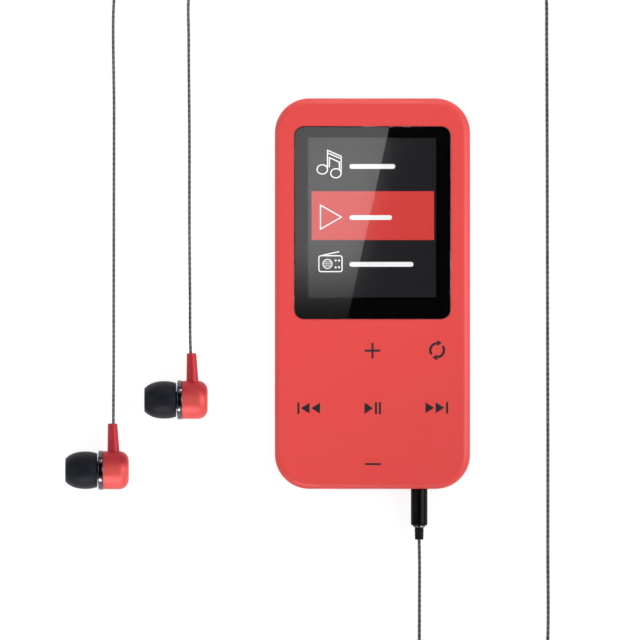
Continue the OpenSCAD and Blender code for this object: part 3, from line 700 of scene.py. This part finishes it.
plug = {
    "x": 10.3, "z": 4.2, "face": -43.01, "radius": 1.85, "length": 8.49, "chamfer": 0.32,
    "collar": 1.32, "collarLength": 0.34,  # bright ring where the barrel ends
}
strainRelief = {"radius": 1.05, "end": 1.0, "length": 2.7, "ribs": 5, "ribHeight": 0.16}
tie = {
    "thick": 0.25, "outerRound": 0.8, "innerRound": 0.45,
    "corner": 0.96, "outside": 0.8, "inside": 0.2,  # shares of the half width and the thickness
}
splitter = {"at": (0, 86.3, 1.5), "length": 10, "radius": 1.5, "taper": 2, "mainEnd": 0.8, "budEnd": 1.2}


def axisPlace(origin, way, side):
    # mm along way from origin; side is where the local X axis goes
    third = Vector(way).cross(Vector(side))
    turned = Matrix((Vector(side), third, Vector(way))).transposed().to_4x4()
    return Matrix.Scale(mm, 4) @ Matrix.Translation(Vector(origin)) @ turned


def makeBarrel():
    build = bmesh.new()
    r = plug["radius"]
    end = plug["length"]
    c = plug["chamfer"]
    collar = plug["collarLength"]
    profile = [(0, 0), (0, r), (end - collar - c, r), (end - collar, r - c), (end - collar, 0)]
    place = axisPlace((plug["x"], plug["face"], plug["z"]), (0, -1, 0), (1, 0, 0))
    spun(build, eased(profile, [0, 0.12, 0.3, 0.1, 0]), place, 72)
    shell = addPiece("plug_barrel_shell", build, "plug_black", "earphones", ("plug_barrel",))
    r = plug["collar"]
    profile = [(end - collar, 0), (end - collar, r), (end, r), (end, 0)]
    build = bmesh.new()
    spun(build, eased(profile, [0, 0.02, 0.14, 0]), place, 72)
    ring = addPiece("plug_collar", build, "plug_collar", "earphones")
    return shell, ring


def reliefTree():
    # tapered sleeve with ribs round it, along its own Z in mm
    tree = bpy.data.node_groups.new("reliefRibs", "GeometryNodeTree")
    sizes = {
        "Start Radius": "Float", "End Radius": "Float", "Length": "Float", "Ribs": "Int",
        "Rib Height": "Float", "Finish": "Material"}
    for name, kind in sizes.items():
        tree.interface.new_socket(name, in_out="INPUT", socket_type="NodeSocket" + kind)
    tree.interface.new_socket("Geometry", in_out="OUTPUT", socket_type="NodeSocketGeometry")
    start = Sock(tree)
    given = tree.nodes.new("NodeGroupInput")
    size = {name: Sock(tree, given.outputs[name]) for name in sizes}
    sleeve = start.make("GeometryNodeMeshCone", {
        "Vertices": 48, "Side Segments": 6, "Radius Top": size["End Radius"],
        "Radius Bottom": size["Start Radius"], "Depth": size["Length"]}, fill_type="NGON")
    ring = start.make("GeometryNodeCurvePrimitiveCircle", {
        "Resolution": 48, "Radius": size["Start Radius"] - size["Rib Height"] * 0.5}, mode="RADIUS")
    section = start.make("GeometryNodeCurvePrimitiveCircle", {
        "Resolution": 10, "Radius": size["Rib Height"]}, mode="RADIUS")
    rib = start.make("GeometryNodeCurveToMesh", {"Curve": ring, "Profile Curve": section})
    pitch = size["Length"] / (size["Ribs"] + 1)
    spot = start.make("ShaderNodeCombineXYZ", {"Z": pitch})
    points = start.make("GeometryNodeMeshLine", {
        "Count": size["Ribs"], "Start Location": spot, "Offset": spot}, mode="OFFSET")
    index = start.make("GeometryNodeInputIndex")
    taper = 1 - (index + 1) / (size["Ribs"] + 1) * (1 - size["End Radius"] / size["Start Radius"])
    spread = start.make("ShaderNodeCombineXYZ", {"X": taper, "Y": taper, "Z": 1.0})
    ribs = start.make("GeometryNodeInstanceOnPoints", {"Points": points, "Instance": rib, "Scale": spread})
    joined = tree.nodes.new("GeometryNodeJoinGeometry")
    tree.links.new(ribs.socket, joined.inputs[0])
    tree.links.new(sleeve.socket, joined.inputs[0])
    real = start.make("GeometryNodeRealizeInstances", {0: Sock(tree, joined.outputs[0])})
    done = start.make("GeometryNodeSetMaterial", {"Geometry": real, "Material": size["Finish"]})
    out = tree.nodes.new("NodeGroupOutput")
    tree.links.new(done.socket, out.inputs[0])
    return tree


def fromTree(tree, values, place, name):
    # runs a tree on an empty mesh and keeps the result as a plain mesh in the world's metres
    carrier = bpy.data.objects.new(name + "Carrier", bpy.data.meshes.new(name + "Carrier"))
    bpy.context.scene.collection.objects.link(carrier)
    modifier = carrier.modifiers.new(name, "NODES")
    modifier.node_group = tree
    for item in tree.interface.items_tree:
        if item.item_type == "SOCKET" and item.in_out == "INPUT":
            modifier[item.identifier] = values[item.name]
    bpy.context.view_layer.update()
    evaluated = carrier.evaluated_get(bpy.context.evaluated_depsgraph_get())
    mesh = bpy.data.meshes.new_from_object(evaluated)
    mesh.transform(place)
    if not facesOut(mesh):
        mesh.flip_normals()
    bpy.data.objects.remove(carrier)
    return mesh


def makeRelief():
    look = strainRelief
    place = axisPlace((plug["x"], plug["face"] - plug["length"], plug["z"]), (0, -1, 0), (1, 0, 0))
    sunk = look["ribHeight"] / 2
    mesh = fromTree(reliefTree(), {
        "Start Radius": look["radius"] - sunk, "End Radius": look["end"] - sunk,
        "Length": look["length"], "Ribs": look["ribs"], "Rib Height": look["ribHeight"],
        "Finish": finishes["relief_rubber"]}, place, "reliefRibs")
    return keepPiece("plug_relief_ribs", mesh, "relief_rubber", "earphones", ("plug_relief",))


def makeSplitter():
    build = bmesh.new()
    r = splitter["radius"]
    length = splitter["length"]
    taper = splitter["taper"]
    profile = [(0, 0), (0, splitter["budEnd"]), (taper, r)]
    profile += [(length - taper, r), (length, splitter["mainEnd"]), (length, 0)]
    x, y, z = splitter["at"]
    place = axisPlace((x - length / 2, y, z), (1, 0, 0), (0, 0, 1))
    spun(build, eased(profile, [0, 0.3, 12, 6, 0.2, 0], 8), place, 56)
    return addPiece("cord_splitter_shell", build, "plug_black", "earphones", ("cord_splitter",))


def makeTie(name, nodeName):
    # band round a coil: a flat section with softened corners, swept round the turns
    low, high = (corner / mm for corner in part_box(nodeName))
    middle = (low + high) / 2
    size = high - low
    thick = tie["thick"]
    outer = roundBox(middle.x, middle.z, size.x, size.z, tie["outerRound"], 8)
    inner = roundBox(middle.x, middle.z, size.x - 2 * thick, size.z - 2 * thick, tie["innerRound"], 8)
    near = [(1, tie["corner"]), (tie["outside"], 1), (tie["inside"], 1), (0, tie["corner"])]
    section = near + [(part, -side) for part, side in near[::-1]]
    build = bmesh.new()
    loops = []
    for out, into in zip(outer, inner):
        loop = []
        for part, side in section:
            x = into[0] + (out[0] - into[0]) * part
            z = into[1] + (out[1] - into[1]) * part
            loop.append(build.verts.new((x * mm, (middle.y + size.y / 2 * side) * mm, z * mm)))
        loops.append(loop)
    rings(build, loops, joined=True)
    return addPiece(name, build, "tie_band", "earphones", (nodeName,), angle=50)


barrelPiece, collarPiece = makeBarrel()
reliefPiece = makeRelief()
splitterPiece = makeSplitter()
mainTie = makeTie("main_coil_band", "main_coil_tie")
branchTie = makeTie("branch_coil_band", "branch_coil_tie")
print("plug, splitter and ties made")


# ---- earbuds ----

bud = {
    "backs": {"left": (-53.7, -38.9), "right": (-36.3, -23.4)},
    "height": 4.35,
    "housing": 4.2, "housingLength": 5.6, "backRound": 2.1, "wall": 0.6,
    "ring": 4.35, "ringLength": 1.1, "ringBore": 3.0, "ringEdge": 0.22,
    "stemX": -3.35, "stemLow": 3.7, "stemTop": 10.3, "stemWide": 1.35, "stemThin": 1.05, "stemLean": -0.22,
    # painted light and shade on the buds' coral metal: lighter on the -Y side that faces the lamps, darker
    # past the axis on the +Y side
    "paintedLitColour": srgb(230, 88, 84), "paintedShadeColour": srgb(190, 46, 53), "fade": (0.2, 2.4),  # mm past the axis
}

# each bud gets its own metal, with the painted shade placed by that bud's axis
for side, (x, y) in bud["backs"].items():
    finishes["bud_metal_" + side] = mouldedFinish("bud_metal_" + side, plainLooks["bud_metal"] | {
        "colour": bud["paintedLitColour"], "paintedShadeColour": bud["paintedShadeColour"],
        "fade": (y + bud["fade"][0], y + bud["fade"][1])})


def budPlace(side):
    x, y = bud["backs"][side]
    return axisPlace((x, y, bud["height"]), (-1, 0, 0), (0, 0, 1))


def makeHousing(side):
    r = bud["housing"]
    end = bud["housingLength"]
    inside = r - bud["wall"]
    outer = [(0, 0), (0, r), (end, r), (end, inside), (1, inside), (1, 0)]
    build = bmesh.new()
    spun(build, eased(outer, [0, bud["backRound"], 0.08, 0.05, 0.3, 0], 12), budPlace(side), 80)
    return addPiece(
        side + "_housing_cup", build, "bud_metal_" + side, "earphones", (side + "_housing",))


def makeStem(side):
    x, y = bud["backs"][side]
    length = bud["stemTop"] - bud["stemLow"]
    place = axisPlace((x + bud["stemX"], y + bud["stemLow"], bud["height"]), (0, 1, 0), (0, 0, 1))
    profile = [(0, 0), (0, bud["stemWide"]), (length, bud["stemThin"]), (length, 0)]
    build = bmesh.new()
    spun(build, eased(profile, [0, 0.05, 0.35, 0], 8), place, 56)
    for vert in build.verts:  # one side stays nearly straight, the other tapers
        rise = (vert.co.y / mm - y - bud["stemLow"]) / length
        vert.co.x += bud["stemLean"] * rise * mm
    return addPiece(
        side + "_stem_sleeve", build, "bud_metal_" + side, "earphones", (side + "_stem",))


def makeRing(side):
    low = bud["housingLength"]
    high = low + bud["ringLength"]
    r = bud["ring"]
    bore = bud["ringBore"]
    edge = bud["ringEdge"]
    profile = []
    for begin, x, y in ((180, low, r), (90, high, r)):
        way = 1 if begin == 180 else -1
        for step in range(7):
            turn = math.radians(begin - 90 * step / 6)
            profile.append((x + way * edge + edge * math.cos(turn), y - edge + edge * math.sin(turn)))
    profile += [(high, bore), (low, bore)]
    build = bmesh.new()
    spun(build, profile, budPlace(side), 80, joined=True)
    return addPiece(side + "_trim_ring", build, "bud_ring", "earphones", (side + "_ring",))


tip = {
    "start": 6.95, "length": 7, "radius": 4.15, "sleeve": 2.75, "soundBore": 1.5, "nozzleBore": 2.05,
    "skirt": 0.6,  # thickness of the turned-back skirt
    "widest": 0.35, "flare": 0.1,  # share of the length, and of the radius behind it
    "frontReach": 0.82, "frontPower": 2.4,  # how far and how square the front closes
    "sleeveLead": 0.3, "steps": 32, "hollowSteps": 24,
    # distance behind the front, and how far inside the front's flat or outside the sound bore
    "lip": [(0.02, 0.35), (0.12, 0.7)],
    "mouth": [(0.1, 0.25), (0.2, 0.06), (0.5, 0), (2.7, 0)],
    "boreStep": 2.9, "boreLead": 0.25, "boreFlare": 0.15, "sleeveFlare": 0.1,
    "edge": [(0.02, 0.8), (0, 0.35)],  # past the start, share of the skirt's thickness
}


def makeTip(side):
    # inner sleeve on the nozzle, and a domed skirt turned back over it
    start = tip["start"]
    front = start + tip["length"]
    widest = tip["widest"]
    outer = []
    for i in range(tip["steps"] + 1):
        s = i / tip["steps"]
        if s < widest:
            bulge = 1 - tip["flare"] * (1 - s / widest) ** 2
        else:
            bulge = math.sqrt(1 - (tip["frontReach"] * (s - widest) / (1 - widest)) ** tip["frontPower"])
        outer.append((start + s * tip["length"], tip["radius"] * bulge))
    rear = outer[0][1]
    flat = outer[-1][1]
    bore = tip["nozzleBore"]
    lip = [(front - back, flat - inside) for back, inside in tip["lip"]]
    lip += [(front - back, tip["soundBore"] + outside) for back, outside in tip["mouth"]]
    lip += [(front - tip["boreStep"], bore), (start + tip["boreLead"], bore)]
    lip.append((start, bore + tip["boreFlare"]))
    lead = start + tip["sleeveLead"]
    sleeve = [(start, tip["sleeve"] - tip["sleeveFlare"]), (lead, tip["sleeve"])]
    deep = []
    for along, radius in outer[:tip["hollowSteps"]]:
        if along > lead:
            deep.append((along, max(tip["sleeve"], radius - tip["skirt"])))
    turned = [(start + past, rear - tip["skirt"] * share) for past, share in tip["edge"]]
    profile = outer + lip + sleeve + [(deep[-1][0], tip["sleeve"])] + deep[::-1] + turned
    build = bmesh.new()
    spun(build, profile, budPlace(side), 80, joined=True)
    return addPiece(
        side + "_silicone_tip", build, "silicone", side + "_tip", (side + "_ear_tip",), angle=50)


for side in ("left", "right"):
    made = [makeHousing(side), makeStem(side), makeRing(side), makeTip(side)]
print("earbuds made")


# ---- window and picture ----

window = {"centre": (0, 15.6), "size": (34.45, 42.4), "corner": 2.2, "low": 7.82, "high": 8.6, "edge": 0.16}
picture = {"centre": (0, 16.7), "size": (28.03, 35.04), "level": 7.0, "sheet": 0.012}
menu = {
    "row": (0.075, 17.175, 26.95, 10.75),  # centre and size
    "bars": [(-5.06, 5.0, 28.0), (-5.06, 4.3, 16.75), (-5.06, 9.0, 6.45)],  # left, right, middle height
    "barHeight": 1.05, "barRound": 0.5,
    "line": 0.26,
    "noteHeads": [(-11.05, 27.35), (-8.05, 26.5)], "noteRadius": 1.15, "noteSquash": 0.88,
    "noteLines": [
        [(-9.9, 27.4), (-9.9, 31.55), (-6.9, 30.25), (-6.9, 26.55)],
        [(-9.5, 27.8), (-9.5, 29.95), (-7.3, 28.95), (-7.3, 27.3)],
        [(-9.85, 30.95), (-7.05, 29.75)]],
    "play": [(-11.45, 19.5), (-6.85, 16.85), (-11.45, 14.2)],
    "radio": (-9.25, 6.6, 5.1, 3.5, 0.45),  # centre, size and rounding
    "aerial": [(-11.0, 8.45), (-7.3, 9.25)],
    "speaker": (-9.9, 6.55, 1.0), "speakerLine": 0.8,  # centre and radius; its line as a share
    "grille": (-0.45, 0, 0.45), "grilleRadius": 0.85, "grilleLine": 0.55,
    "knobs": [(-8.1, 7.3), (-8.1, 5.8), (-7.35, 7.3), (-7.35, 5.8)], "knobRadius": 0.24,
}


def makeWindow():
    build = bmesh.new()
    edge = window["edge"]
    levels = [(0.06, window["low"]), (0, window["low"] + 0.06), (0, window["high"] - edge)]
    for step in range(1, 5):
        turn = math.radians(90 * step / 4)
        levels.append((edge * (1 - math.cos(turn)), window["high"] - edge + edge * math.sin(turn)))
    loops = []
    for inset, z in levels:
        outline = roundBox(*window["centre"], window["size"][0] - 2 * inset, window["size"][1] - 2 * inset,
                           window["corner"] - inset, 12)
        loops.append([build.verts.new((x * mm, y * mm, z * mm)) for x, y in outline])
    rings(build, loops)
    return addPiece("window_glass", build, "screen_window", "player", ("screen_lens",))


def makePicture():
    z = picture["level"]
    sheet = picture["sheet"]
    build = bmesh.new()
    slab(build, roundBox(*picture["centre"], *picture["size"], 0.05, 1), z, z + sheet)
    addPiece("picture_field", build, "picture_field", "player")
    build = bmesh.new()
    slab(build, roundBox(*menu["row"], 0.05, 1), z + sheet, z + 2 * sheet)
    addPiece("picture_row", build, "picture_row", "player")
    low = z + 2 * sheet
    high = z + 3 * sheet
    build = bmesh.new()
    for left, right, middle in menu["bars"]:
        bar = roundBox((left + right) / 2, middle, right - left, menu["barHeight"], menu["barRound"])
        slab(build, bar, low, high)
    line = menu["line"]
    for x, y in menu["noteHeads"]:
        stroke(build, arc(x, y, menu["noteRadius"], 0, 345, 23, menu["noteSquash"]), line, low, high, True)
    for points in menu["noteLines"] + [menu["aerial"]]:
        stroke(build, points, line, low, high)
    stroke(build, menu["play"], line, low, high, True)
    stroke(build, roundBox(*menu["radio"], 4), line, low, high, True)
    x, y, radius = menu["speaker"]
    stroke(build, arc(x, y, radius, 0, 345, 23), line * menu["speakerLine"], low, high, True)
    for rise in menu["grille"]:
        reach = math.sqrt(menu["grilleRadius"] ** 2 - rise ** 2)
        stroke(build, [(x - reach, y + rise), (x + reach, y + rise)], line * menu["grilleLine"], low, high)
    for x, y in menu["knobs"]:
        slab(build, arc(x, y, menu["knobRadius"], 0, 315, 7), low, high)
    addPiece("picture_menu", build, "picture_white", "player")


printed = {
    "level": 8.6, "thick": 0.012,
    "plus": (0, -12.55), "plusArm": 1.72, "plusWidth": 0.46,
    "barRound": 0.06,
    # centre and size
    "bars": [(0.1, -37.5, 3.5, 0.42), (-16.3, -25.2, 0.46, 2.55), (0.76, -25.2, 0.46, 2.65),
             (1.63, -25.2, 0.46, 2.65), (16.42, -25.1, 0.46, 2.55)],
    # tip and base along X, middle and half height
    "triangles": [(-15.75, -13.85, -25.2, 1.2), (-13.45, -11.55, -25.2, 1.2), (0.08, -1.76, -25.2, 1.28),
                  (13.55, 11.65, -25.1, 1.2), (15.8, 13.9, -25.1, 1.2)],
    "circle": (14.22, -12.45), "circleRadius": 1.5, "circleWidth": 0.54,
    "circleArc": (218, 92), "circleHead": [(0, 2.28), (0, 0.9), (1.05, 1.6)],
}


def makePrints():
    low = printed["level"]
    high = low + printed["thick"]
    build = bmesh.new()
    arm = printed["plusArm"]
    half = printed["plusWidth"] / 2
    slab(build, [
        (-arm, half), (-half, half), (-half, arm), (half, arm), (half, half), (arm, half),
        (arm, -half), (half, -half), (half, -arm), (-half, -arm), (-half, -half), (-arm, -half)],
         low, high, printed["plus"])
    for x, y, wide, tall in printed["bars"]:
        slab(build, roundBox(x, y, wide, tall, printed["barRound"], 2), low, high)
    for point, base, y, half in printed["triangles"]:
        slab(build, [(point, y), (base, y + half), (base, y - half)], low, high)
    x, y = printed["circle"]
    turned = arc(0, 0, printed["circleRadius"], *printed["circleArc"], 24)
    for way in (1, -1):  # two arrows going round
        stroke(build, [(x + way * a, y + way * b) for a, b in turned], printed["circleWidth"], low, high)
        slab(build, [(x + way * a, y + way * b) for a, b in printed["circleHead"]], low, high)
    addPiece("shell_symbols", build, "shell_print", "player")


makeWindow()
makePicture()
makePrints()
print("window, picture and symbols made")


# ---- table and light ----

light = {
    "world": 0.44,
    # brightness of the room's walls in reflections, and how it changes to the right and the back
    "walls": 0.42, "wallsRight": 0.2, "wallsBack": -0.5, "wallsLeast": 0.06,
    "ceiling": (0.42, 0.93), "skirting": (0.04, 0.3), "skirtingLift": 0.6,
    "table": {"reach": 4, "paper": 0.86, "faint": 0.28, "glow": 0.82},
    "lamps": [
        # name, place in m, where it aims, size in m, power, spread in degrees
        ("keyRight", (0.62, 0.02, 0.6), (0, 0, 0), (0.4, 0.6), 3.1, 180),
        ("fillLeft", (-0.62, 0.1, 0.6), (0, 0, 0), (0.4, 0.6), 1.0, 180),
        ("lowFront", (-0.1, -1.0, 0.6), (0, 0, 0), (1.3, 0.5), 2.2, 180),
        ("backTop", (0.1, 1.0, 0.7), (0, 0, 0), (1.2, 0.5), 1.6, 180),
        ("budFront", (-0.075, -0.3, 0.16), (-0.052, -0.032, 0.004), (0.04, 0.04), 0.005, 24),
        ("topEdge", (0.03, 0.5, 0.3), (0, 0.045, 0.006), (0.06, 0.04), 0.007, 16),
        ("rightEdge", (0.4, 0, 0.2), (0.03, 0, 0.006), (0.03, 0.12), 0.003, 14)],
    "glare": {
        "height": 600, "power": 1.12, "dim": 0.1,  # dim: share left at the low end
        "corners": [(-24, -7.5), (-5.9, -7.5), (4.0, 38), (-24, 38)],  # mm on the window
        "fade": (-6, 12)},  # mm along Y on the window, between which it brightens
}


def makeLamps():
    for name, place, aim, size, power, spread in light["lamps"]:
        data = bpy.data.lights.new(name, "AREA")
        data.shape = "RECTANGLE"
        data.size = size[0]
        data.size_y = size[1]
        data.energy = power
        data.spread = math.radians(spread)
        lamp = bpy.data.objects.new(name, data)
        lamp.location = place
        lamp.rotation_euler = (Vector(aim) - Vector(place)).to_track_quat("-Z", "Y").to_euler()
        bpy.context.scene.collection.objects.link(lamp)


def rayKinds(start):
    path = start.tree.nodes.new("ShaderNodeLightPath")
    kinds = ("Camera", "Glossy", "Transmission")
    return [Sock(start.tree, path.outputs["Is " + kind + " Ray"]) for kind in kinds]


def outlet(start, kind, surface):
    output = start.tree.nodes.new(kind)
    start.tree.links.new(surface.socket, output.inputs["Surface"])


def makeWorld():
    world = bpy.data.worlds.new("softRoom")
    world.use_nodes = True
    world.node_tree.nodes.clear()
    start = Sock(world.node_tree)
    camRay, glossRay, clearRay = rayKinds(start)
    x, y, z = (start.coordinate("Generated", axis) for axis in range(3))
    # a dark ceiling panel straight above, pale walls, the front and right ones palest
    walls = light["walls"] + light["wallsRight"] * x + light["wallsBack"] * y
    walls = walls.larger(light["wallsLeast"]).smaller(1.0) * (1 - z.between(*light["ceiling"]))
    shown = walls + (1 - walls) * light["skirtingLift"] * (1 - z.between(*light["skirting"]))
    mirror = glossRay.larger(clearRay)
    seen = mirror * shown + (1 - mirror) * light["world"]
    strength = camRay + (1 - camRay) * seen
    glow = start.make("ShaderNodeBackground", {"Color": (1, 1, 1, 1), "Strength": strength})
    outlet(start, "ShaderNodeOutputWorld", glow)
    bpy.context.scene.world = world


def stageSheet(name, finishName, corners):
    # one flat face, with a bare material whose tree is returned beside it
    build = bmesh.new()
    build.faces.new([build.verts.new(corner) for corner in corners])
    mesh = bpy.data.meshes.new(name)
    build.to_mesh(mesh)
    build.free()
    material = bpy.data.materials.new(finishName)
    material.use_nodes = True
    material.node_tree.nodes.clear()
    mesh.materials.append(material)
    sheet = bpy.data.objects.new(name, mesh)
    bpy.context.scene.collection.objects.link(sheet)
    return sheet, Sock(material.node_tree)


def makeTable():
    look = light["table"]
    reach = look["reach"]
    corners = [(-reach, -reach, 0), (reach, -reach, 0), (reach, reach, 0), (-reach, reach, 0)]
    table, start = stageSheet("tableTop", "paleTable", corners)
    camRay, glossRay, clearRay = rayKinds(start)
    direct = camRay.larger(glossRay).larger(clearRay)
    paper, faint = (
        start.make("ShaderNodeBsdfDiffuse", {"Color": (look[tone], look[tone], look[tone], 1)})
        for tone in ("paper", "faint"))
    glow = start.make("ShaderNodeEmission", {"Color": (1, 1, 1, 1), "Strength": look["glow"]})
    lit = start.make("ShaderNodeAddShader", {0: faint, 1: glow})
    surface = start.make("ShaderNodeMixShader", {0: direct, 1: paper, 2: lit})
    outlet(start, "ShaderNodeOutputMaterial", surface)


def makeGlare():
    # a long card overhead with one slanted edge, seen only in reflections, that crosses the window
    look = light["glare"]
    rise = look["height"] - window["high"]
    ratio = rise / (view["height"] - window["high"])

    def seenFrom(value, axis=1):
        # where the card must be for its reflection to lie at value on the window, in m
        return (value + (value - view["aim"][axis]) * ratio) * mm

    corners = [(seenFrom(x, 0), seenFrom(y), look["height"] * mm) for x, y in look["corners"]]
    card, start = stageSheet("glareCard", "glareCard", corners)
    fall = start.coordinate("Object", 1).between(*(seenFrom(end) for end in look["fade"]))
    strength = (fall * (1 - look["dim"]) + look["dim"]) * look["power"]
    glow = start.make("ShaderNodeEmission", {"Color": (1, 1, 1, 1), "Strength": strength})
    outlet(start, "ShaderNodeOutputMaterial", glow)
    card.visible_camera = False
    card.visible_diffuse = False
    card.visible_shadow = False


makeLamps()
makeWorld()
makeTable()
makeGlare()
print("table and light made")
